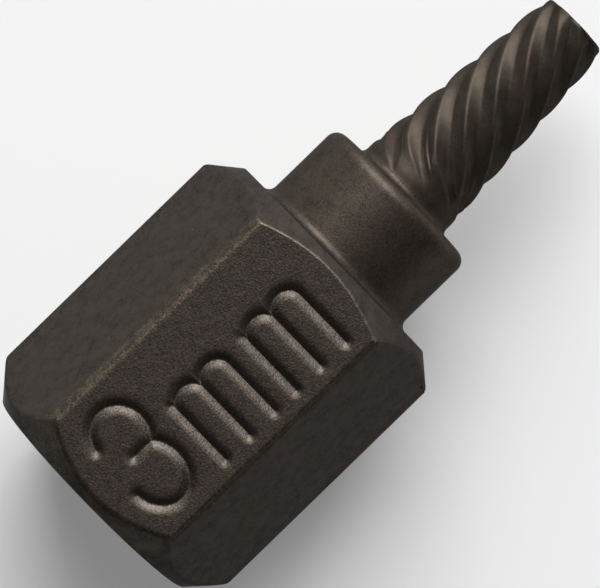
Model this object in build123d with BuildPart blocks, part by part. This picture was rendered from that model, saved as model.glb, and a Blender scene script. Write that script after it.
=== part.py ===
"""Screw extractor: hexagon head, round collar and a tapered shank with left-hand spiral flutes.

The tool is one forging. It lies along X on one flat of its hexagon, with the tip towards +X
and +Z out of the upper flat. The origin is the centre of the head's struck end face.
"""

import os
from math import asin, ceil, cos, degrees, radians, sin, tan

from build123d import *

# Hexagon head
hex_across_flats = 9.525
head_length = 11.54
long_edge_round = 0.36
struck_rim_radius = 4.43
struck_chamfer_angle = 48.5
front_rim_radius = 4.45
front_chamfer_angle = 39.5
rim_round = 0.12

# Round collar in front of the head
collar_diameter = 6.4
collar_length = 3.24
collar_edge_round = 0.45
collar_base_fillet = 0.32

# Plain neck that carries the shank, and the cone on which the flutes run out
neck_diameter = 3.88
neck_length = 0.45
neck_fillet = 0.25
runout_angle = 14.0
core_diameter = 1.6

# Fluted shank, measured over its ridges
shank_length = 8.37
shank_root_diameter = 3.79
shank_tip_diameter = 2.70
straight_length = 1.45
flute_count = 8
flute_lead = 11.8
flute_depth_root = 0.25
flute_depth_tip = 0.18
ridge_land_root = 0.13
ridge_land_tip = 0.09
ridge_on_top_at = 5.87

# Worn corner and low crown of the tip's end face
tip_relief_length = 0.6
tip_relief_angle = 15.0
tip_edge_round = 0.18
tip_crown = 0.06

# How far one piece of the forging is carried into the next, and the widest step of the twist
overlap = 0.3
widest_twist_step = 12.0

corner_radius = hex_across_flats / 2 / cos(radians(30))
collar_radius = collar_diameter / 2
collar_end = head_length + collar_length
tip_end = collar_end + shank_length
taper_start = collar_end + straight_length
flute_pitch_angle = 360 / flute_count


def shank_share(x):
    """How far along the taper a section lies, from 0 at its root to 1 at the tip."""
    return max(0.0, (x - taper_start) / (tip_end - taper_start))


def between(root_value, tip_value, x):
    """A size that changes evenly along the taper."""
    return root_value + (tip_value - root_value) * shank_share(x)


def ridge_angle(x):
    """Angle of the first ridge from +Z towards +Y, in degrees. It grows with X: left hand."""
    return 360 * (x - collar_end - ridge_on_top_at) / flute_lead


def polar(radius, angle):
    """A point of the section from its radius and its angle in degrees."""
    return Vector(radius * cos(radians(angle)), radius * sin(radians(angle)))


def fluted_outline(x):
    """The section's outline at x: narrow lands on the ridges, joined by hollow arcs."""
    ridge = between(shank_root_diameter, shank_tip_diameter, x) / 2
    floor = ridge - between(flute_depth_root, flute_depth_tip, x)
    half_land = degrees(asin(between(ridge_land_root, ridge_land_tip, x) / 2 / ridge))
    for flute in range(flute_count):
        turn = flute * flute_pitch_angle
        hollow_start = polar(ridge, turn + half_land)
        Line(polar(ridge, turn - half_land), hollow_start)
        ThreePointArc(
            hollow_start,
            polar(floor, turn + flute_pitch_angle / 2),
            polar(ridge, turn + flute_pitch_angle - half_land),
        )


with BuildPart() as screw_extractor:
    # Hexagon bar of the head, with its long edges rounded
    with BuildSketch(Plane.YZ) as bar:
        RegularPolygon(corner_radius, 6)
        fillet(bar.vertices(), long_edge_round)
    extrude(amount=head_length)

    # Collar, neck and the cone under the flutes' ends, turned as one profile
    neck_end = collar_end + neck_length
    cone_end = neck_end + (neck_diameter - core_diameter) / 2 / tan(radians(runout_angle))
    seat_radius = (front_rim_radius + collar_radius + collar_base_fillet) / 2
    with BuildSketch(Plane.XY) as turned:
        with BuildLine():
            Polyline(
                (head_length - overlap, 0),
                (head_length - overlap, seat_radius),
                (head_length, seat_radius),
                (head_length, collar_radius),
                (collar_end, collar_radius),
                (collar_end, neck_diameter / 2),
                (neck_end, neck_diameter / 2),
                (cone_end, core_diameter / 2),
                (cone_end, 0),
                close=True,
            )
        make_face()
        corners = turned.vertices()
        fillet(corners.sort_by_distance((head_length, collar_radius))[0], collar_base_fillet)
        fillet(corners.sort_by_distance((collar_end, collar_radius))[0], collar_edge_round)
        fillet(corners.sort_by_distance((collar_end, neck_diameter / 2))[0], neck_fillet)
    revolve(axis=Axis.X)

    # Tapered shank: the fluted section, turned and shrunk in even steps along the axis
    lofted_length = shank_length + overlap
    steps = ceil(360 * lofted_length / flute_lead / widest_twist_step)
    for step in range(steps + 1):
        x = collar_end + lofted_length * step / steps
        ridge_direction = (0, sin(radians(ridge_angle(x))), cos(radians(ridge_angle(x))))
        with BuildSketch(Plane(origin=(x, 0, 0), x_dir=ridge_direction, z_dir=(1, 0, 0))):
            with BuildLine():
                fluted_outline(x)
            make_face()
    loft()

    # Turned limits of the whole tool: both chamfers of the hexagon and the worn corner of the tip
    clear_radius = corner_radius + overlap
    struck_chamfer_length = (clear_radius - struck_rim_radius) * tan(radians(struck_chamfer_angle))
    front_chamfer_length = (clear_radius - front_rim_radius) * tan(radians(front_chamfer_angle))
    relief_drop = tip_relief_length * tan(radians(tip_relief_angle))
    taper_rise = tip_relief_length * (shank_root_diameter - shank_tip_diameter) / 2 / (tip_end - taper_start)
    end_radius = shank_tip_diameter / 2 + taper_rise - relief_drop
    crown_radius = (end_radius**2 + tip_crown**2) / (2 * tip_crown)
    clear_end = tip_end - 2 * tip_relief_length
    with BuildSketch(Plane.XY) as limits:
        with BuildLine():
            Polyline(
                (tip_end, 0),
                (0, 0),
                (0, struck_rim_radius),
                (struck_chamfer_length, clear_radius),
                (head_length - front_chamfer_length, clear_radius),
                (head_length, front_rim_radius),
                (clear_end, front_rim_radius),
                (clear_end, end_radius + 2 * relief_drop),
                (tip_end - tip_crown, end_radius),
            )
            RadiusArc((tip_end - tip_crown, end_radius), (tip_end, 0), crown_radius)
        make_face()
        rims = limits.vertices()
        fillet(rims.sort_by_distance((0, struck_rim_radius))[0], rim_round)
        fillet(rims.sort_by_distance((tip_end - tip_crown, end_radius))[0], tip_edge_round)
    revolve(axis=Axis.X, mode=Mode.INTERSECT)

screw_extractor.part.label = "screw_extractor"
os.makedirs("parts", exist_ok=True)
export_step(screw_extractor.part, "parts/screw_extractor.step")
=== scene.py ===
"""Looks of the screw extractor: its dark phosphate skin, worn edges, size mark and studio.

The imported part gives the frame: the tool lies along +X on one flat of its hexagon, with +Z out of
the marked flat. Sizes are in millimetres until a mesh is written, and the mesh is in metres.
"""

import logging
from dataclasses import dataclass, field
from enum import Enum
from math import cos, pi, radians, sin, sqrt, tan
from typing import Any, Mapping, Sequence

import bpy
import numpy as np
from mathutils import Matrix, Vector

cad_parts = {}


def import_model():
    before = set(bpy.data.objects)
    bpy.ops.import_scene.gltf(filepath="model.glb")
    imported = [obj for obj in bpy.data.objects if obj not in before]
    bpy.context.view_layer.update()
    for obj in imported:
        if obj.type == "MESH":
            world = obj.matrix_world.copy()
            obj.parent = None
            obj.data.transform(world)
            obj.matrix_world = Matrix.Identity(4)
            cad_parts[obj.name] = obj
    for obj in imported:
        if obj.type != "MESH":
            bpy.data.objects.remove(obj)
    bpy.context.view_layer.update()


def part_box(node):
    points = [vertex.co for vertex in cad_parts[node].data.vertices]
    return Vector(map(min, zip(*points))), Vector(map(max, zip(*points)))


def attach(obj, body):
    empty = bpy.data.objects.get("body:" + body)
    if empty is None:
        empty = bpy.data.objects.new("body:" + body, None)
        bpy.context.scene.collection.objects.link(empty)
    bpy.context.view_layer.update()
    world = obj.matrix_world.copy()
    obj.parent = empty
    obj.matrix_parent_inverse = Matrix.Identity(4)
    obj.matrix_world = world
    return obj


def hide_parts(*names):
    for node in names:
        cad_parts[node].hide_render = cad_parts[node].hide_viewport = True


LOG = logging.getLogger("screw_extractor")
NODE = "screw_extractor"
BODY = "root"
MM = 0.001

Array = np.ndarray
Pair = tuple[float, float]
Triple = tuple[float, float, float]
Floats = tuple[float, ...]


class Skin(Enum):
    """Vertex attributes that say how the steel's skin changes over the tool, and where shade and
    highlights are painted on it.
    """

    # Worn colour. On the mark's lamp-facing walls and beside the edge towards the lamp it is also a
    # painted highlight.
    WORN_AND_HIGHLIGHT = "wear_and_painted_highlight"
    GRAIN = "forged_grain"
    # Soot and dark tone, stored under the name soot. On the struck chamfer and beside the lower edge it
    # is painted shade.
    SOOT_AND_SHADE = "soot"
    BROWN = "browned"
    GLOSS = "burnished"


def ease(low: float, high: float, values: Array) -> Array:
    """Smooth step from 0 at low to 1 at high.

    Args:
        low: Value at which the step starts.
        high: Value at which the step ends.
        values: Values to step.

    Returns:
        The eased share, from 0 to 1.
    """
    share = np.clip((values - low) / (high - low), 0.0, 1.0)
    return share * share * (3.0 - 2.0 * share)


def softer_max(first: Array, second: float | Array, blend: float) -> Array:
    """The larger of two heights, with a small fillet where they cross.

    Args:
        first: One height.
        second: The other height.
        blend: Width of the fillet, in the heights' unit.

    Returns:
        The blended height.
    """
    gap = first - second
    return (first + second + np.sqrt(gap * gap + blend * blend)) / 2.0


def linked(name: str, data: bpy.types.ID) -> bpy.types.Object:
    """Makes an object of some data and adds it to the scene.

    Args:
        name: The object's name.
        data: Its mesh, light or camera.

    Returns:
        The object.
    """
    made = bpy.data.objects.new(name, data)
    bpy.context.scene.collection.objects.link(made)
    return made


@dataclass
class Rings:
    """A stack of closed rings round the tool's axis, one row each, in millimetres and degrees."""

    along: Array
    radius: Array
    angle: Array
    skin: dict[Skin, Array] = field(default_factory=dict)

    def filled(self, skin: Skin) -> Array:
        """The values of one skin attribute, which are 0 where a part of the tool doesn't set it."""
        return self.skin.get(skin, np.zeros_like(self.radius))

    @staticmethod
    def stacked(parts: Sequence["Rings"]) -> "Rings":
        """Joins stacks of rings end to end.

        Args:
            parts: Stacks in their order along the tool.

        Returns:
            One stack.
        """
        return Rings(
            along=np.vstack([part.along for part in parts]),
            radius=np.vstack([part.radius for part in parts]),
            angle=np.vstack([part.angle for part in parts]),
            skin={skin: np.vstack([part.filled(skin) for part in parts]) for skin in Skin},
        )


@dataclass(frozen=True)
class Corner:
    """One corner of the tool's outline, for every column of the mesh at once."""

    along: float | Array
    radius: float | Array
    rounding: float | Array = 0.0
    arc_rows: int = 0
    rows_after: int = 1
    stations: Floats = ()


def rounded_outline(corners: Sequence[Corner], columns: int) -> tuple[Array, Array]:
    """Follows corners with straight rows between them and arcs round them.

    Args:
        corners: The outline's corners, from the head to the tip.
        columns: How many columns the mesh has.

    Returns:
        Places along the axis and radii, one row for each ring.
    """
    points = [
        np.stack([np.broadcast_to(size, columns) for size in (corner.along, corner.radius)], axis=-1)
        for corner in corners
    ]
    start = points[0]
    rows: list[Array] = [start]
    for index in range(1, len(points)):
        corner = corners[index]
        here = points[index]
        if corner.arc_rows and index + 1 < len(points):
            rounding = np.broadcast_to(corner.rounding, columns)[:, None]
            inward = unit(here - points[index - 1])
            outward = unit(points[index + 1] - here)
            cosine = np.clip(np.sum(inward * outward, axis=-1, keepdims=True), -1.0, 1.0)
            turn = np.arccos(cosine)
            side = unit(outward - cosine * inward)
            arc_start = here - inward * (rounding * np.tan(turn / 2))
            rows.extend(station_rows(start, arc_start, corners[index - 1]))
            for step in range(1, corner.arc_rows + 1):
                swept = turn * step / corner.arc_rows
                ahead = rounding * np.sin(swept) * inward
                rows.append(arc_start + ahead + rounding * (1 - np.cos(swept)) * side)
            start = rows[-1]
        else:
            rows.extend(straight_rows(start, here, corners[index - 1].rows_after))
            start = here
    path = np.stack(rows)
    return path[..., 0], path[..., 1]


def unit(vectors: Array) -> Array:
    """Vectors scaled to length 1."""
    return vectors / np.maximum(np.linalg.norm(vectors, axis=-1, keepdims=True), 1e-12)


def straight_rows(start: Array, end: Array, count: int) -> list[Array]:
    """Evenly spaced rows from start, which isn't repeated, to end."""
    return [start + (end - start) * step / count for step in range(1, count + 1)]


def station_rows(start: Array, end: Array, corner: Corner) -> list[Array]:
    """Rows between two corners, straight across the tool at the first one's stations.

    Args:
        start: The row after which these come.
        end: The last row.
        corner: The corner before them, with its stations and the even rows at each end of them.

    Returns:
        The rows.
    """
    if not corner.stations:
        return straight_rows(start, end, corner.rows_after)
    rows: list[Array] = []
    last = start
    for index, station in enumerate(corner.stations):
        here = np.stack([np.full(len(start), station), start[:, 1]], axis=-1)
        rows.extend(straight_rows(last, here, corner.rows_after if index == 0 else 1))
        last = here
    return rows + straight_rows(last, end, corner.rows_after)


@dataclass
class SizeMark:
    """The stamped size mark: a plain numeral and unit in strokes of one width."""

    # Numeral
    numeral_left: float = 1.43
    numeral_right: float = 3.38
    numeral_top: float = 1.91
    numeral_base: float = -2.05
    numeral_waist: float = 0.03
    numeral_ends: Pair = (170.0, -176.0)
    upper_bowl: float = 0.97
    waist_angle: float = 50.0
    bar_start: float = 2.24
    # Unit
    stems: Floats = (4.34, 7.62)
    stem_pitch: float = 1.142
    stem_base: float = -2.12
    stem_top: float = 0.36
    arch_top: float = 0.57
    arch_flatness: float = 0.86
    # Section of a stroke
    half_width: float = 0.26
    depth: float = 0.17
    shoulder: float = 0.19
    softer_to: Pair = (0.45, 0.5)
    lean: Pair = (0.06, -0.04)
    dish_width: float = 0.52
    dish_depth: float = 0.025
    # Wear with a painted highlight: worn colour on each stroke's steep wall, the one towards the lamp.
    wall_highlight_rise: float = 0.35
    wall_highlight_most: float = 0.6
    # Mesh
    fine_reach: float = 0.36
    fine_step: float = 0.029
    coarse_step: float = 0.055
    arc_points: int = 40

    def arc(self, centre: Pair, size: Pair, start: float, end: float) -> Array:
        """Points of an elliptic arc.

        Args:
            centre: Its centre, along and across the flat.
            size: Its two half axes.
            start: Its first angle in degrees, from +X.
            end: Its last angle in degrees.

        Returns:
            The points, one row each.
        """
        turn = np.radians(np.linspace(start, end, self.arc_points))
        along = centre[0] + size[0] * np.cos(turn)
        across = centre[1] + size[1] * np.sin(turn)
        return np.stack([along, across], axis=-1)

    def strokes(self) -> list[Array]:
        """Draws the numeral's two bowls and bar, and the unit's stems and arches.

        Returns:
            Centre lines of all the strokes, as points along and across the flat.
        """
        middle = (self.numeral_left + self.numeral_right) / 2
        wide = (self.numeral_right - self.numeral_left) / 2
        waist = self.numeral_waist
        turn = radians(self.waist_angle)
        upper = (self.numeral_top - waist) / (1.0 + sin(turn))
        lower = (waist - self.numeral_base) / (1.0 + sin(turn))
        upper_size = (wide * self.upper_bowl, upper)
        upper_end, lower_end = self.numeral_ends
        lines = [
            self.arc((middle, self.numeral_top - upper), upper_size, upper_end, -self.waist_angle),
            self.arc((middle, self.numeral_base + lower), (wide, lower), self.waist_angle, lower_end),
            np.array([(self.bar_start, waist), (middle + wide * cos(turn), waist)]),
        ]
        half = self.stem_pitch / 2
        rise = half * self.arch_flatness
        spring = self.arch_top - rise
        for first in self.stems:
            lines.append(np.array([(first, self.stem_base), (first, self.stem_top)]))
            for arch in range(2):
                left = first + arch * self.stem_pitch
                right = left + self.stem_pitch
                lines.append(self.arc((left + half, spring), (half, rise), 180.0, 0.0))
                lines.append(np.array([(right, spring), (right, self.stem_base)]))
        return lines

    def stations(self, first: float, last: float) -> Floats:
        """Places of the mesh's rows along the flat, closer together at the stems.

        Args:
            first: Place of the first row.
            last: Place that the rows don't pass.

        Returns:
            The places.
        """
        stems = [stem + leg * self.stem_pitch for stem in self.stems for leg in range(3)]
        places = [first]
        while places[-1] < last - self.coarse_step:
            nearest = min(abs(places[-1] - stem) for stem in stems)
            step = self.fine_step if nearest < self.fine_reach else self.coarse_step
            places.append(places[-1] + step)
        return tuple(places)

    def sunk(self, along: Array, across: Array) -> tuple[Array, Array]:
        """How deep the mark sinks the flat at each place.

        Args:
            along: Places along the tool.
            across: Places across the flat.

        Returns:
            Depth in millimetres, and the share of worn colour on a stroke's steep wall, the one towards
            the lamp, from 0 to 1: wear with a painted highlight.
        """
        place = np.stack([along, across], axis=-1)
        nearest = np.full(along.shape, np.inf)
        leaning = np.full(along.shape, np.inf)
        softer = np.zeros(along.shape)
        for line in self.strokes():
            for start, end in zip(line[:-1], line[1:]):
                run = end - start
                share = np.clip(((place - start) @ run) / (run @ run), 0.0, 1.0)
                aside = place - start - share[..., None] * run
                gap = np.linalg.norm(aside, axis=-1)
                turned = aside @ self.softer_to / np.maximum(gap, 1e-6)
                softer = np.where(gap < nearest, turned, softer)
                nearest = np.minimum(nearest, gap)
                leaning = np.minimum(leaning, gap + aside @ self.lean)
        shoulder = self.shoulder * (1.0 + softer)
        inside = 1.0 - leaning / self.half_width
        rounded = (inside + np.sqrt(inside * inside + shoulder**2)) / 2.0
        tail = (np.sqrt(1.0 + shoulder**2) - 1.0) / 2.0
        dish = np.maximum(1.0 - nearest / self.dish_width, 0.0) ** 2
        depth = self.depth * np.maximum(rounded - tail, 0.0) + self.dish_depth * dish
        # The second share is worn colour on the wall towards the lamp: wear with a painted highlight.
        return depth, ease(0.0, self.wall_highlight_rise, inside) * np.clip(self.wall_highlight_most - softer, 0.0, 1.0)


@dataclass
class HexHead:
    """Hexagon head with long edges rounded by wear and a turned chamfer at each end."""

    across_flats: float = 9.525
    length: float = 11.54
    edge_rounds: Floats = (0.3, 0.36, 0.36, 0.36, 0.36, 0.17)
    struck_rim: float = 4.43
    struck_chamfer: float = 48.5
    front_rim: float = 4.37
    front_chamfer: float = 39.5
    struck_soft: float = 0.35
    front_crisp: float = 0.08
    front_soft: float = 0.28
    soft_between: Pair = (30.0, 60.0)
    rim_round: float = 0.12
    face_middle: float = 0.25
    marked_columns: int = 122
    flat_columns: int = 8
    edge_columns: int = 5
    beside_edges: Floats = (0.1, 0.2, 0.32, 0.5)
    first_station: float = 1.36
    last_station: float = 10.6

    @property
    def side(self) -> float:
        """Length of one side of the hexagon."""
        return self.across_flats / sqrt(3.0)

    @property
    def columns(self) -> int:
        """Columns in one ring."""
        on_flats = self.marked_columns + 5 * self.flat_columns + 2 * len(self.beside_edges)
        return on_flats + 6 * self.edge_columns

    def section(self) -> tuple[Array, Array]:
        """The hexagon's outline, from the middle of the edge before the marked flat.

        Returns:
            Angle in degrees from +Z towards +Y, and radius.
        """
        apothem = self.across_flats / 2
        cut_back = tan(radians(30))
        across: list[float] = []
        up: list[float] = []
        for flat in range(6):
            normal = radians(60 * flat)
            rounding = self.edge_rounds[flat]
            low = self.edge_rounds[flat - 1] * cut_back - self.side / 2
            high = self.side / 2 - rounding * cut_back
            centre_out = apothem - rounding
            count = self.marked_columns if flat == 0 else self.flat_columns
            places = [low + (high - low) * step / count for step in range(count)]
            if flat == 1:
                places += [low + gap for gap in self.beside_edges]
            if flat == 5:
                places += [high - gap for gap in self.beside_edges]
            for place in sorted(places):
                across.append(apothem * sin(normal) + place * cos(normal))
                up.append(apothem * cos(normal) - place * sin(normal))
            centre_across = centre_out * sin(normal) + high * cos(normal)
            centre_up = centre_out * cos(normal) - high * sin(normal)
            for step in range(self.edge_columns):
                lean = normal + radians(60 * step / self.edge_columns)
                across.append(centre_across + rounding * sin(lean))
                up.append(centre_up + rounding * cos(lean))
        angle = np.degrees(np.unwrap(np.arctan2(across, up)))
        return angle, np.hypot(across, up)

    def chamfer_start(self, radius: Array) -> Array:
        """Where the struck end's chamfer meets the hexagon."""
        return (radius - self.struck_rim) * tan(radians(self.struck_chamfer))

    def chamfer_end(self, radius: Array) -> Array:
        """Where the front chamfer meets the hexagon."""
        return self.length - (radius - self.front_rim) * tan(radians(self.front_chamfer))

    def outline(self, mark: SizeMark) -> list[Corner]:
        """Corners of the head's outline, from the struck face to the front rim.

        Args:
            mark: The mark in the flat, which says where the mesh's rows lie closer together.

        Returns:
            The corners.
        """
        angle, radius = self.section()
        from_marked = np.abs((angle + 180.0) % 360.0 - 180.0)
        softer = ease(*self.soft_between, from_marked)
        front = self.front_crisp + (self.front_soft - self.front_crisp) * softer
        start = self.chamfer_start(radius)
        places = mark.stations(self.first_station, self.last_station)
        return [
            Corner(0.0, self.face_middle, rows_after=6),
            Corner(0.0, self.struck_rim, self.rim_round, arc_rows=4, rows_after=8),
            Corner(start, radius, self.struck_soft, arc_rows=6, rows_after=13, stations=places),
            Corner(self.chamfer_end(radius), radius, front, arc_rows=4, rows_after=8),
            Corner(self.length, self.front_rim, self.rim_round, arc_rows=4, rows_after=4),
        ]


@dataclass
class Collar:
    """Round collar between the head and the shank, with a rolled front edge."""

    diameter: float = 6.4
    length: float = 3.24
    base_fillet: float = 0.32
    front_round: float = 0.45
    neck_diameter: float = 3.88
    neck_fillet: float = 0.25
    neck_shown: float = 0.02

    def outline(self, head: HexHead) -> list[Corner]:
        """Corners of the collar's outline, from its base to the neck.

        Args:
            head: The head that the collar stands on.

        Returns:
            The corners.
        """
        end = head.length + self.length
        radius = self.diameter / 2
        neck = self.neck_diameter / 2
        return [
            Corner(head.length, radius, self.base_fillet, arc_rows=7, rows_after=26),
            Corner(end, radius, self.front_round, arc_rows=9, rows_after=3),
            Corner(end, neck, self.neck_fillet, arc_rows=6, rows_after=2),
            Corner(end + self.neck_fillet + self.neck_shown, neck),
        ]


@dataclass
class FlutedShank:
    """Tapered shank with left-hand spiral ridges and hollow flutes that run out on the neck."""

    # Ridges and flutes
    start: float = 14.78
    length: float = 8.37
    root_diameter: float = 3.79
    tip_diameter: float = 2.70
    straight: float = 1.45
    flutes: int = 8
    lead: float = 11.6
    depth_root: float = 0.25
    depth_tip: float = 0.18
    land: float = 0.06
    crest_round: float = 0.05
    hollow_bottom_at: float = 0.44
    hollow_powers: Pair = (1.7, 2.0)
    ridge_on_top_at: float = 5.8
    # Run-outs of the flutes on the neck
    neck_end: float = 15.23
    neck_radius: float = 1.94
    neck_blend: float = 0.5
    runout_start: float = 14.9
    runout_length: float = 1.25
    runout_delays: Floats = (0.15, 0.3, 0.1, 0.0, 0.35, 0.5, 0.1, 0.25)
    runout_sway: float = 0.2
    sway_length: float = 0.8
    runout_blend: float = 0.02
    # Worn corner and crown of the tip
    relief_length: float = 0.6
    relief_angle: float = 15.0
    relief_blend: float = 0.04
    tip_round: float = 0.09
    tip_crown: float = 0.06
    crown_shares: Floats = (0.85, 0.7, 0.5, 0.25)
    # Burr and groove beside each ridge
    burr_along: Floats = (15.85, 16.1, 16.45, 16.75, 17.0)
    burr_share: Floats = (0.87, 0.79, 0.685, 0.65, 0.64)
    burr_height: float = 0.045
    burr_groove: float = 0.03
    burr_width: float = 0.055
    burr_fades: Pair = (0.1, 0.45)
    groove_aside: float = 1.6
    # Skin, with a gloss below that of turned steel
    worn_share: float = 0.25
    ridge_wear: float = 0.2
    cut_reach: float = 0.9
    soot: float = 0.14
    # The flutes are darker towards their bottoms.
    darker_from_share: float = 0.6
    flute_bottom_darkening: float = 0.2
    tip_soot: float = 0.3
    tip_soot_zone: Pair = (0.6, 0.15)
    face_soot: float = 0.35
    fine_grain: float = 0.05
    gloss: float = -0.3
    # Mesh
    crowding: float = 0.4
    rows: int = 118
    tip_rows: int = 6

    @property
    def end(self) -> float:
        """Place of the tip's crown."""
        return self.start + self.length

    @property
    def taper_start(self) -> float:
        """Place where the ridges start to taper."""
        return self.start + self.straight

    @property
    def pitch_angle(self) -> float:
        """Angle between two ridges, in degrees."""
        return 360.0 / self.flutes

    def ridge_angle(self, along: Array) -> Array:
        """Angle of the first ridge from +Z towards +Y, in degrees."""
        return 360.0 * (along - self.start - self.ridge_on_top_at) / self.lead

    def taper(self, root: float, tip: float, along: Array) -> Array:
        """A size that changes evenly from the taper's root to the tip."""
        share = np.clip((along - self.taper_start) / (self.end - self.taper_start), 0.0, 1.0)
        return root + (tip - root) * share

    def hollow(self, share: Array, crest: Array) -> Array:
        """How much of its depth a flute has reached, across it.

        Args:
            share: Place across the flute, from 0 at one ridge to 1 at the next one towards the tip.
            crest: Radius of the ridges.

        Returns:
            0 on a ridge and 1 at the bottom.
        """
        width = np.radians(self.pitch_angle) * crest
        from_ridge = np.minimum(share, 1.0 - share) * width
        off_land = np.maximum(from_ridge - self.land / 2, 0.0)
        worn = np.sqrt(off_land * off_land + self.crest_round**2) - self.crest_round
        half = np.where(share < 0.5, self.hollow_bottom_at, 1.0 - self.hollow_bottom_at) * width
        power = np.where(share < 0.5, *self.hollow_powers)
        return 1.0 - (1.0 - np.minimum(worn / half, 1.0)) ** power

    def closer_at_ridges(self, column_angle: Array) -> Array:
        """Moves evenly spaced columns towards the ridges."""
        turn = 2.0 * np.pi * column_angle / self.pitch_angle
        return column_angle - self.crowding * self.pitch_angle / (2.0 * np.pi) * np.sin(turn)

    def rings(self, first: float, column_angle: Array) -> Rings:
        """Rings of the shank, whose columns follow the ridges.

        Args:
            first: Place of the first ring.
            column_angle: Angle of each column from the first ridge, in degrees.

        Returns:
            The rings.
        """
        straight_end = self.end - self.tip_crown - self.tip_round
        along = np.linspace(first, straight_end, self.rows)[:, None] * np.ones(column_angle.size)
        turn = self.ridge_angle(along)
        crest = self.taper(self.root_diameter, self.tip_diameter, along) / 2
        leaving_neck = ease(self.neck_end, self.neck_end + self.neck_blend, along)
        crest += (self.neck_radius - crest) * (1.0 - leaving_neck)
        depth = self.taper(self.depth_root, self.depth_tip, along)
        share = np.broadcast_to((-column_angle / self.pitch_angle) % 1.0, along.shape)
        hollow = self.run_out(along, share, crest, column_angle)
        radius = crest - depth * hollow + self.burr(along, share, crest)
        radius = -softer_max(-radius, -self.relief_radius(along), self.relief_blend)
        cut = ease(self.neck_end, self.neck_end + self.cut_reach, along)
        bottom = ease(self.darker_from_share, 1.0, hollow) * cut
        dulled = ease(*(self.end - reach for reach in self.tip_soot_zone), along)
        skin = {
            Skin.WORN_AND_HIGHLIGHT: (1.0 - ease(0.0, self.worn_share, hollow)) * cut * self.ridge_wear,
            Skin.GRAIN: np.full_like(along, self.fine_grain),
            Skin.SOOT_AND_SHADE: bottom * self.flute_bottom_darkening + self.soot + self.tip_soot * dulled,
            Skin.BROWN: np.ones_like(along),
            Skin.GLOSS: np.full_like(along, self.gloss),
        }
        body = Rings(along, radius, turn + column_angle, skin)
        return Rings.stacked([body, self.tip_rings(radius[-1], along[-1], turn[-1] + column_angle)])

    def run_out(self, along: Array, share: Array, crest: Array, column_angle: Array) -> Array:
        """How much of its depth a flute has reached, where it rises out of the neck.

        Args:
            along: Places along the tool.
            share: Place across the flute, from 0 to 1.
            crest: Radius of the ridges.
            column_angle: Angle of each column from the first ridge, in degrees.

        Returns:
            0 on a ridge or on the bare neck and 1 at the bottom.
        """
        flute = np.floor(-column_angle / self.pitch_angle).astype(int) % self.flutes
        first = self.runout_start + np.take(self.runout_delays, flute)
        lift = 1.0 - ease(first, first + self.runout_length, along)
        sway_end = first + self.sway_length * self.runout_length
        sway = self.runout_sway * (1.0 - ease(first, sway_end, along))
        full = self.hollow(share - sway * np.sin(np.pi * share), crest)
        cut = softer_max(full - lift, 0.0, self.runout_blend)
        return cut - softer_max(-lift, 0.0, self.runout_blend)

    def burr(self, along: Array, share: Array, crest: Array) -> Array:
        """Height of the short raised line, and its groove, that a run-out leaves beside each ridge.

        Args:
            along: Places along the tool.
            share: Place across the flute, from 0 to 1.
            crest: Radius of the ridges.

        Returns:
            Height in millimetres, below zero in the groove.
        """
        line = np.interp(along, self.burr_along, self.burr_share)
        off_line = (share - line) * np.radians(self.pitch_angle) * crest / self.burr_width
        first, last = self.burr_along[0], self.burr_along[-1]
        fade_in, fade_out = self.burr_fades
        window = ease(first - fade_in, first + fade_in, along)
        window *= 1.0 - ease(last - fade_out, last, along)
        raised = self.burr_height * np.exp(-(off_line**2))
        return window * (raised - self.burr_groove * np.exp(-((off_line - self.groove_aside) ** 2)))

    def relief_radius(self, along: Array) -> Array:
        """The worn cone at the tip's corner.

        Args:
            along: Places along the tool.

        Returns:
            The cone's radius at each place.
        """
        taper_length = self.length - self.straight
        rise = self.relief_length * (self.root_diameter - self.tip_diameter) / 2 / taper_length
        drop = self.relief_length * tan(radians(self.relief_angle))
        end_radius = self.tip_diameter / 2 + rise - drop
        slope = 2 * drop / (2 * self.relief_length - self.tip_crown)
        return end_radius + (self.end - self.tip_crown - along) * slope

    def tip_rings(self, radius: Array, along: Array, angle: Array) -> Rings:
        """Rounds the shank's last ring over to its crowned end face.

        Args:
            radius: Radii of the last ring.
            along: Its place along the tool.
            angle: Its angles.

        Returns:
            The rings of the rounded corner and of the end face.
        """
        turns = [90.0 * step / self.tip_rows for step in range(1, self.tip_rows + 1)]
        places = [along + self.tip_round * sin(radians(t)) for t in turns]
        radii = [radius - self.tip_round * (1 - cos(radians(t))) for t in turns]
        rim = radii[-1]
        for share in self.crown_shares:
            places.append(np.full_like(along, self.end - self.tip_crown * share**2))
            radii.append(rim * share)
        stack = np.array(places)
        angles = np.broadcast_to(angle, stack.shape)
        return Rings(stack, np.array(radii), angles, {Skin.SOOT_AND_SHADE: np.full_like(stack, self.face_soot)})


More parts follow.
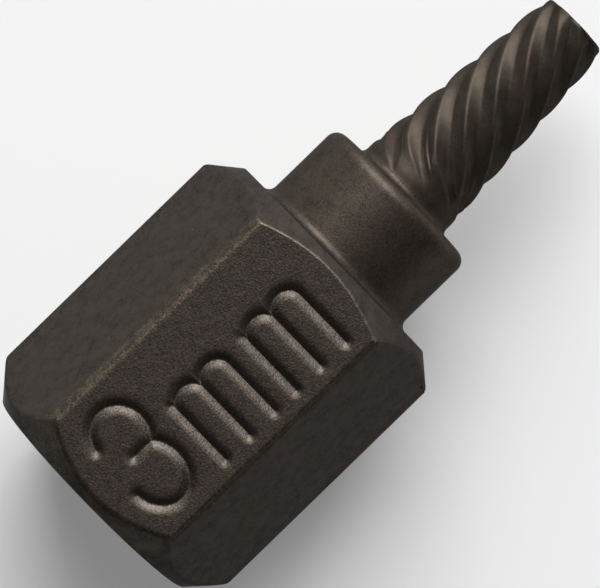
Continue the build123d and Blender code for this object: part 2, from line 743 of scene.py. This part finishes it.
@dataclass(frozen=True)
class HeadWear:
    """Where the head is worn, brown or grained, where soot or painted shade darkens it, where highlights
    are painted, and how much, in millimetres and shares.
    """

    # Fades of the skin at the ends of the flats
    struck_fade: Pair = (-0.05, 0.1)
    front_fade: Pair = (-0.02, 0.05)
    # Fade of the painted shade on the struck chamfer.
    struck_shade_fade: Pair = (-0.1, 0.05)
    gloss_fade: Pair = (-0.15, 0.0)
    # The first edge, the one towards the lamp, is strongest: wear with a painted highlight.
    edge_strength: Floats = (1.0, 0.6, 0.5, 0.6, 0.5, 0.6)
    edge_zone: Pair = (0.07, 0.22)
    edge_wear_and_highlight: float = 0.75
    front_zone: float = 0.11
    front_wear: float = 0.2
    marked_zone: float = 0.12
    # Wear with a painted highlight: a lighter, browner band on the face beside the edge towards the lamp.
    halo_zone: Pair = (0.4, 0.6)
    halo_wear_and_highlight: float = 0.7
    # Painted shade: a dark band on the face beside the edge turned from the lamp.
    shade_at: float = 0.17
    shade_width: float = 0.13
    edge_painted_shade: float = 0.5
    # Painted shade: the struck chamfer's colour is darkened.
    struck_painted_shade: float = 0.33
    ground_grain: float = 0.12
    collar_grain: float = 0.35
    collar_zone: Pair = (0.1, 0.3)
    # Wear with a painted highlight on the mark's walls towards the lamp.
    wall_wear_and_highlight: float = 0.98


@dataclass
class Forging:
    """The whole tool as one closed mesh."""

    head: HexHead = field(default_factory=HexHead)
    collar: Collar = field(default_factory=Collar)
    shank: FlutedShank = field(default_factory=FlutedShank)
    mark: SizeMark = field(default_factory=SizeMark)
    wear: HeadWear = field(default_factory=HeadWear)
    twist_start: float = 0.4
    ring_gap: float = 0.05
    flat_tolerance: float = 0.02

    def rings(self) -> Rings:
        """Stacks all the rings of the tool.

        Returns:
            The rings, from the struck face to the tip's end face.
        """
        columns = self.head.columns
        angle, _ = self.head.section()
        corners = self.head.outline(self.mark) + self.collar.outline(self.head)
        along, radius = rounded_outline(corners, columns)
        even = np.arange(columns) * 360.0 / columns
        twist = self.shank.ridge_angle(along[-1, 0])
        offset = np.round((np.mean(angle - even) - twist) / (360.0 / columns))
        column_angle = self.shank.closer_at_ridges(even + offset * 360.0 / columns)
        spread = ease(self.head.length + self.twist_start, self.head.length + self.collar.length, along)
        angles = angle[None, :] * (1 - spread) + (column_angle + twist)[None, :] * spread
        body = Rings(along, radius, angles, self.head_skin(along))
        shank = self.shank.rings(along[-1, 0] + self.ring_gap, column_angle)
        return Rings.stacked([body, shank])

    def head_skin(self, along: Array) -> dict[Skin, Array]:
        """Skin attributes of the head and the collar.

        Args:
            along: Places of the rings.

        Returns:
            The attributes, each as rings.
        """
        wear = self.wear
        head = self.head
        angle, full = head.section()
        on_head = (along < head.length - self.ring_gap).astype(float)
        after_chamfer = along - head.chamfer_start(full)[None, :]
        before_chamfer = head.chamfer_end(full)[None, :] - along
        between = ease(*wear.struck_fade, after_chamfer) * ease(*wear.front_fade, before_chamfer)
        front_edge = (1.0 - ease(0.0, wear.front_zone, np.abs(before_chamfer))) * on_head
        turn = np.radians(angle)
        beside = np.where(np.cos(turn) > 0.0, np.abs(full * np.sin(turn)), head.side) - head.side / 2
        marked = (1.0 - ease(0.0, wear.marked_zone, beside))[None, :]
        folded = np.radians(np.abs((angle + 30.0) % 60.0 - 30.0))
        off_edge = head.side / 2 - head.across_flats / 2 * np.tan(folded)
        # Edge wear, strongest at the edge towards the lamp, where it is also a painted highlight.
        strength = np.array(wear.edge_strength)[(angle // 60.0).astype(int) % 6]
        edges = (strength * (1.0 - ease(*wear.edge_zone, off_edge)))[None, :] * between
        on_collar = ease(*(head.length + place for place in wear.collar_zone), along)
        # Wear with a painted highlight: a lighter, browner band on the face beside the edge towards the
        # lamp.
        upper = (angle > 30.0) & (angle < 60.0)
        halo = (upper * (1.0 - ease(*wear.halo_zone, off_edge)))[None, :] * between
        # Painted shade: a dark band beside the edge turned from the lamp.
        lower = (angle > 300.0) & (angle < 330.0)
        band = np.exp(-(((off_edge - wear.shade_at) / wear.shade_width) ** 2))
        shade = (lower * band)[None, :] * between
        front_worn = front_edge * (wear.front_wear + (1.0 - wear.front_wear) * marked)
        side_wear_and_highlight = np.maximum(wear.edge_wear_and_highlight * edges, wear.halo_wear_and_highlight * halo)
        grained = marked * between + wear.collar_grain * (on_collar + halo) + wear.ground_grain
        # Painted shade: the struck chamfer is darkened in colour.
        struck = 1.0 - ease(*wear.struck_shade_fade, after_chamfer)
        return {
            Skin.WORN_AND_HIGHLIGHT: np.clip(front_worn + side_wear_and_highlight, 0.0, 1.0),
            Skin.GRAIN: np.clip(grained, 0.0, 1.0),
            Skin.SOOT_AND_SHADE: struck * wear.struck_painted_shade + wear.edge_painted_shade * shade,
            Skin.BROWN: np.clip(edges + on_collar + wear.halo_wear_and_highlight * halo, 0.0, 1.0),
            Skin.GLOSS: 1.0 - ease(*wear.gloss_fade, after_chamfer),
        }

    def points(self, rings: Rings) -> Array:
        """Places of all the vertices, with the size mark sunk into the marked flat and worn there, with a
        painted highlight on its walls towards the lamp.

        Args:
            rings: The tool's rings.

        Returns:
            Points in millimetres, one grid row for each ring.
        """
        turn = np.radians(rings.angle)
        across = rings.radius * np.sin(turn)
        up = rings.radius * np.cos(turn)
        flat_top = self.head.across_flats / 2
        on_flat = (rings.along < self.head.length) & (up > flat_top - self.flat_tolerance)
        depth = np.zeros_like(across)
        depth[on_flat], struck = self.mark.sunk(rings.along[on_flat], across[on_flat])
        # Wear with a painted highlight on the mark's walls towards the lamp.
        rings.skin[Skin.WORN_AND_HIGHLIGHT][on_flat] += struck * self.wear.wall_wear_and_highlight
        return np.stack([rings.along, across, up - depth], axis=-1)

    def build(self) -> bpy.types.Object:
        """Makes the mesh and its skin attributes.

        Returns:
            The object, linked to the scene.
        """
        rings = self.rings()
        points = self.points(rings)
        rows, columns = rings.radius.shape
        ends = [(0.0, 0.0, 0.0), (self.shank.end, 0.0, 0.0)]
        verts = np.vstack([points.reshape(-1, 3), ends]) * MM
        column = np.arange(columns)
        after = (column + 1) % columns
        faces: list[tuple[int, ...]] = []
        for row in range(rows - 1):
            low = row * columns
            high = low + columns
            faces.extend(zip(low + column, high + column, high + after, low + after))
        start_point = rows * columns
        end_point = start_point + 1
        last_row = (rows - 1) * columns
        faces.extend((start_point, a, b) for a, b in zip(column, after))
        faces.extend((end_point, last_row + b, last_row + a) for a, b in zip(column, after))
        mesh = bpy.data.meshes.new("forging")
        mesh.from_pydata(verts.tolist(), [], [tuple(map(int, face)) for face in faces])
        mesh.validate()
        for skin in Skin:
            values = np.append(rings.filled(skin).ravel(), (0.0, 0.0)).astype(np.float32)
            mesh.attributes.new(skin.value, "FLOAT", "POINT").data.foreach_set("value", values)
        mesh.shade_smooth()
        mesh.update()
        return linked("forging", mesh)


@dataclass(frozen=True)
class Signal:
    """A shader value on which Python's operators add Math nodes."""

    graph: "Graph"
    socket: bpy.types.NodeSocket

    def __add__(self, other: "Value") -> "Signal":
        """This value plus the other."""
        return self.graph.maths("ADD", self, other)

    def __sub__(self, other: "Value") -> "Signal":
        """This value minus the other."""
        return self.graph.maths("SUBTRACT", self, other)

    def __rsub__(self, other: "Value") -> "Signal":
        """The other value minus this."""
        return self.graph.maths("SUBTRACT", other, self)

    def __mul__(self, other: "Value") -> "Signal":
        """This value times the other."""
        return self.graph.maths("MULTIPLY", self, other)

    def stepped(self, low: float, high: float) -> "Signal":
        """Smooth step of this value from 0 at low to 1 at high."""
        sockets = {"Value": self, "From Min": low, "From Max": high}
        return self.graph.node("ShaderNodeMapRange", {"interpolation_type": "SMOOTHSTEP"}, sockets)

    def clipped(self) -> "Signal":
        """This value held between 0 and 1."""
        return self.graph.node("ShaderNodeClamp", {}, {"Value": self})


Value = Signal | float | int


class Graph:
    """The node tree of one material or of the world."""

    def __init__(self, tree: bpy.types.NodeTree) -> None:
        """Empties the tree and starts writing to it."""
        self.tree = tree
        tree.nodes.clear()

    def node(
        self,
        kind: str,
        settings: Mapping[str, Any],
        sockets: Mapping[str | int, Any],
        output: str | int = 0,
    ) -> Signal:
        """Adds one node.

        Args:
            kind: The node's type.
            settings: Its own properties, set first.
            sockets: Values or links of its inputs, by name or number.
            output: The output that is wanted.

        Returns:
            That output.
        """
        made = self.tree.nodes.new(kind)
        for name, setting in settings.items():
            setattr(made, name, setting)
        for name, value in sockets.items():
            if isinstance(value, Signal):
                self.tree.links.new(value.socket, made.inputs[name])
            else:
                made.inputs[name].default_value = value
        if not made.outputs:
            return Signal(self, made.inputs[0])
        return Signal(self, made.outputs[output])

    def maths(self, operation: str, first: Value, second: Value) -> Signal:
        """One Math node."""
        return self.node("ShaderNodeMath", {"operation": operation}, {0: first, 1: second})

    def mixed(self, share: Value, first: Any, second: Any) -> Signal:
        """A colour between two colours.

        Args:
            share: 0 gives the first colour and 1 the second.
            first: A colour or a link.
            second: A colour or a link.

        Returns:
            The mixed colour.
        """
        sockets = {0: share, 6: self.colour(first), 7: self.colour(second)}
        return self.node("ShaderNodeMix", {"data_type": "RGBA"}, sockets, 2)

    @staticmethod
    def colour(value: Any) -> Any:
        """A colour with its alpha, or the link itself."""
        return value if isinstance(value, Signal) else (*value, 1.0)

    def skin(self, skin: Skin) -> Signal:
        """A skin attribute of the mesh."""
        settings = {"attribute_type": "GEOMETRY", "attribute_name": skin.value}
        return self.node("ShaderNodeAttribute", settings, {}, "Fac")

    def noise(self, place: Signal, per_mm: float, detail: float, rough: float) -> Signal:
        """Noise from 0 to 1.

        Args:
            place: Place in millimetres.
            per_mm: Grains to the millimetre.
            detail: Finer layers.
            rough: Strength of the finer layers.

        Returns:
            The noise.
        """
        sockets = {"Vector": place, "Scale": per_mm, "Detail": detail, "Roughness": rough}
        return self.node("ShaderNodeTexNoise", {}, sockets)

    def place_in_mm(self) -> Signal:
        """Place on the object in millimetres."""
        place = self.node("ShaderNodeTexCoord", {}, {}, "Object")
        return self.node("ShaderNodeVectorMath", {"operation": "SCALE"}, {0: place, "Scale": 1.0 / MM})


@dataclass(frozen=True)
class PhosphateSteel:
    """Dark brown phosphate skin on forged steel, smoother and greyer where it was turned or ground."""

    name: str = "phosphate_steel"
    # Colours
    grained: Triple = (0.0935, 0.0783, 0.0655)
    reddish: Triple = (0.0955, 0.0695, 0.060)
    olive: Triple = (0.080, 0.0735, 0.055)
    browned: Triple = (0.0865, 0.0706, 0.0535)
    smooth: Triple = (0.0822, 0.0718, 0.0625)
    # Soot colour, also the colour of the painted shade.
    sooty_and_shade: Triple = (0.022, 0.020, 0.018)
    # Bare steel, also the colour of the painted highlights.
    worn: Triple = (0.182, 0.160, 0.138)
    worn_brown: Triple = (0.185, 0.153, 0.104)
    edge_tint: Triple = (0.0, 0.0, 0.0)
    # Gloss
    metallic: float = 0.74
    specular: float = 0.5
    roughness: float = 0.47
    burnished_roughness: float = 0.3
    rough_spread: float = 0.12
    # Noises: grains to the millimetre, finer layers and their strength
    grain: Triple = (14.0, 3.0, 0.65)
    tint: Triple = (7.0, 2.0, 0.6)
    flecks: Triple = (6.0, 1.0, 0.5)
    mottle: Triple = (2.3, 4.0, 0.55)
    patches: Triple = (0.45, 2.0, 0.5)
    # How the noises mix the colours
    patch_reach: float = 0.4
    tint_share: float = 0.65
    speckle_step: Pair = (0.4, 0.6)
    rough_speckle: float = 0.6
    smooth_speckle: float = 0.25
    brown_sway: float = 0.8
    grain_shade: float = 1.6
    forged_grain_shade: float = 0.7
    mottle_shade: float = 1.3
    forged_mottle_calm: float = 0.6
    thin_soot: float = 0.2
    glint_step: Pair = (0.6, 0.78)
    fleck_step: Pair = (0.76, 0.84)
    fleck_strength: float = 0.5
    rub_step: Pair = (0.2, 1.1)
    rub_grain: float = 1.5
    rub_mottle: float = 0.8
    rub_least: float = 0.25
    # Relief, in metres, and shares of it
    relief: float = 0.000024
    relief_strength: float = 0.8
    ground_relief: float = 0.02
    mottle_relief: float = 0.067

    def material(self) -> bpy.types.Material:
        """Builds the finish's node tree.

        Returns:
            The material.
        """
        made = bpy.data.materials.new(self.name)
        made.use_nodes = True
        graph = Graph(made.node_tree)
        place = graph.place_in_mm()
        grain = graph.noise(place, *self.grain)
        tint = graph.noise(place, *self.tint)
        flecks = graph.noise(place, *self.flecks)
        mottle = graph.noise(place, *self.mottle)
        patches = graph.noise(place, *self.patches)
        forged = graph.skin(Skin.GRAIN)
        speckles = tint * self.tint_share + mottle * (1.0 - self.tint_share)
        speckled = graph.mixed(speckles.stepped(*self.speckle_step), self.olive, self.reddish)
        rough_skin = graph.mixed(self.rough_speckle, self.grained, speckled)
        smooth_skin = graph.mixed(self.smooth_speckle, self.smooth, speckled)
        brown_skin = graph.mixed(self.rough_speckle, self.browned, speckled)
        rough_share = (forged + (patches - 0.5) * self.patch_reach).clipped()
        base = graph.mixed(rough_share, smooth_skin, rough_skin)
        browned = graph.skin(Skin.BROWN) * (mottle * self.brown_sway + (1.0 - self.brown_sway / 2))
        base = graph.mixed(browned.clipped(), base, brown_skin)
        shaded = (0.5 - grain) * (forged * self.forged_grain_shade + self.grain_shade)
        shaded += (0.5 - mottle) * (self.mottle_shade - forged * self.forged_mottle_calm)
        calm = graph.skin(Skin.BROWN) * (0.5 - forged).clipped()
        # Darker by grain, mottle and soot, and where the soot attribute paints shade.
        dark_share = (shaded * (1.0 - calm) + self.thin_soot + graph.skin(Skin.SOOT_AND_SHADE)).clipped()
        base = graph.mixed(dark_share, base, self.sooty_and_shade)
        glints = grain.stepped(*self.glint_step) * forged * self.fleck_strength
        glints += flecks.stepped(*self.fleck_step) * self.fleck_strength
        # Worn colour where the wear attribute asks for it, which in places is a painted highlight.
        rubbed_and_highlit = graph.skin(Skin.WORN_AND_HIGHLIGHT) + (grain - 0.5) * self.rub_grain + (mottle - 0.5) * self.rub_mottle
        bare = graph.mixed(graph.skin(Skin.BROWN), self.worn, self.worn_brown)
        bare_share = (rubbed_and_highlit - self.rub_least).stepped(*self.rub_step) + glints
        base = graph.mixed(bare_share.clipped(), base, bare)
        raised = forged * (1.0 - self.ground_relief) + self.ground_relief
        height = grain * raised + mottle * self.mottle_relief
        sockets = {"Strength": self.relief_strength, "Distance": self.relief, "Height": height}
        bump = graph.node("ShaderNodeBump", {}, sockets)
        rough = (grain - 0.5) * self.rough_spread + self.roughness
        rough -= graph.skin(Skin.GLOSS) * (self.roughness - self.burnished_roughness)
        sockets = {
            "Base Color": base,
            "Roughness": rough,
            "Metallic": self.metallic,
            "Specular IOR Level": self.specular,
            "Specular Tint": (*self.edge_tint, 1.0),
            "Normal": bump,
        }
        shader = graph.node("ShaderNodeBsdfPrincipled", {}, sockets)
        graph.node("ShaderNodeOutputMaterial", {}, {"Surface": shader})
        return made


@dataclass(frozen=True)
class FloorPaint:
    """Pale studio paint, white to the camera, that still takes the tool's shadow."""

    name: str = "studio_paint"
    albedo: float = 0.8
    roughness: float = 0.9
    specular: float = 0.1
    lift: float = 0.2
    lit_radius: float = 0.25
    plain_radius: float = 0.6

    def material(self) -> bpy.types.Material:
        """Builds the paint's node tree.

        Returns:
            The material.
        """
        made = bpy.data.materials.new(self.name)
        made.use_nodes = True
        graph = Graph(made.node_tree)
        place = graph.node("ShaderNodeTexCoord", {}, {}, "Object")
        away = graph.node("ShaderNodeVectorMath", {"operation": "LENGTH"}, {0: place}, "Value")
        lifted = seen_share(graph) * (1.0 - away.stepped(self.lit_radius, self.plain_radius))
        glow = graph.mixed(lifted, (0.0, 0.0, 0.0), (1.0, 1.0, 1.0))
        sockets = {
            "Base Color": (self.albedo, self.albedo, self.albedo, 1.0),
            "Roughness": self.roughness,
            "Specular IOR Level": self.specular,
            "Emission Color": glow,
            "Emission Strength": self.lift,
        }
        paint = graph.node("ShaderNodeBsdfPrincipled", {}, sockets)
        graph.node("ShaderNodeOutputMaterial", {}, {"Surface": paint})
        return made


def seen_share(graph: Graph) -> Signal:
    """Tells the rays that show the floor from those that light the tool.

    Args:
        graph: The node tree of the floor's paint.

    Returns:
        1 for what is seen, directly, in a reflection or through glass, and 0 otherwise.
    """
    camera = graph.node("ShaderNodeLightPath", {}, {}, "Is Camera Ray")
    glossy = graph.node("ShaderNodeLightPath", {}, {}, "Is Glossy Ray")
    passed = graph.node("ShaderNodeLightPath", {}, {}, "Is Transmission Ray")
    return (camera + glossy + passed).clipped()


@dataclass
class Studio:
    """Floor that curves up into a wall all round, one lamp, world and camera, in metres."""

    floor_radius: float = 0.6
    sweep_radius: float = 0.1
    wall_height: float = 0.13
    sweep_rows: int = 16
    sides: int = 96
    ambient: float = 0.04
    lamp_azimuth: float = 38.0
    lamp_elevation: float = 38.0
    lamp_distance: float = 0.5
    lamp_size: float = 0.42
    lamp_watts: float = 4.0
    aim: Triple = (0.009885, -0.00003, 0.0)
    camera_distance: float = 0.127
    camera_yaw: float = 44.18
    camera_tilt: float = -0.5
    camera_roll: float = 1.34
    lens: float = 222.0
    sensor: float = 36.0
    clip_start: float = 0.01

    def floor(self, middle: Vector, height: float) -> None:
        """Lays the floor under the tool and sweeps it up into the wall.

        Args:
            middle: Middle of the tool.
            height: Height of the floor.
        """
        profile = [(self.floor_radius, 0.0)]
        for row in range(1, self.sweep_rows + 1):
            turn = radians(90.0 * row / self.sweep_rows)
            radius = self.floor_radius + self.sweep_radius * sin(turn)
            profile.append((radius, self.sweep_radius * (1.0 - cos(turn))))
        profile.append((profile[-1][0], self.wall_height))
        verts = [(middle.x, middle.y, height)]
        for radius, rise in profile:
            for side in range(self.sides):
                turn = 2 * pi * side / self.sides
                x = middle.x + radius * cos(turn)
                y = middle.y + radius * sin(turn)
                verts.append((x, y, height + rise))
        after = [(side + 1) % self.sides for side in range(self.sides)]
        faces: list[tuple[int, ...]] = [(0, 1 + side, 1 + after[side]) for side in range(self.sides)]
        for row in range(len(profile) - 1):
            low = 1 + row * self.sides
            high = low + self.sides
            faces.extend((low + s, high + s, high + after[s], low + after[s]) for s in range(self.sides))
        mesh = bpy.data.meshes.new("floor")
        mesh.from_pydata(verts, [], faces)
        mesh.shade_smooth()
        mesh.materials.append(FloorPaint().material())
        floor = linked("floor", mesh)

    def world(self) -> None:
        """Sets the faint even light of the room."""
        made = bpy.data.worlds.new("studio")
        made.use_nodes = True
        graph = Graph(made.node_tree)
        sockets = {"Color": (1.0, 1.0, 1.0, 1.0), "Strength": self.ambient}
        background = graph.node("ShaderNodeBackground", {}, sockets)
        graph.node("ShaderNodeOutputWorld", {}, {"Surface": background})
        bpy.context.scene.world = made

    def lamp(self, target: Vector) -> None:
        """Hangs a square soft box that points at the tool.

        Args:
            target: Point that it faces.
        """
        turn = radians(self.lamp_azimuth)
        rise = radians(self.lamp_elevation)
        level = cos(rise)
        back = Vector((cos(turn) * level, sin(turn) * level, sin(rise)))
        light = bpy.data.lights.new("key_box", "AREA")
        light.shape = "SQUARE"
        light.size = self.lamp_size
        light.energy = self.lamp_watts
        lamp = linked("key_box", light)
        lamp.location = target + back * self.lamp_distance
        lamp.rotation_mode = "QUATERNION"
        lamp.rotation_quaternion = (-back).to_track_quat("-Z", "Y")

    def camera(self) -> None:
        """Sets the camera above the tool, turned so that the tool points up and to the right."""
        turned = (
            Matrix.Rotation(radians(self.camera_yaw), 3, "Z")
            @ Matrix.Rotation(radians(self.camera_tilt), 3, "Y")
            @ Matrix.Rotation(radians(self.camera_roll), 3, "X")
        )
        facing = turned.transposed()
        lens = bpy.data.cameras.new("camera")
        lens.lens = self.lens
        lens.sensor_width = self.sensor
        lens.clip_start = self.clip_start
        camera = linked("camera", lens)
        eye = Vector(self.aim) + facing @ Vector((0.0, 0.0, self.camera_distance))
        camera.matrix_world = Matrix.Translation(eye) @ facing.to_4x4()
        bpy.context.scene.camera = camera

    def build(self, low: Vector, high: Vector) -> None:
        """Builds the studio round the tool's box.

        Args:
            low: Lowest corner of the tool.
            high: Highest corner of the tool.
        """
        middle = (low + high) / 2
        self.floor(middle, low.z)
        self.world()
        self.lamp(middle)
        self.camera()


def main() -> None:
    """Builds the tool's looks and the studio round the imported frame."""
    logging.basicConfig(level=logging.INFO, format="%(message)s")
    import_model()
    low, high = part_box(NODE)
    forging = Forging().build()
    forging.data.materials.append(PhosphateSteel().material())
    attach(forging, BODY)
    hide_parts(NODE)
    LOG.info("%s: %d faces", forging.name, len(forging.data.polygons))
    Studio().build(low, high)
    bpy.context.scene.view_settings.view_transform = "Standard"


if __name__ == "__main__":
    main()
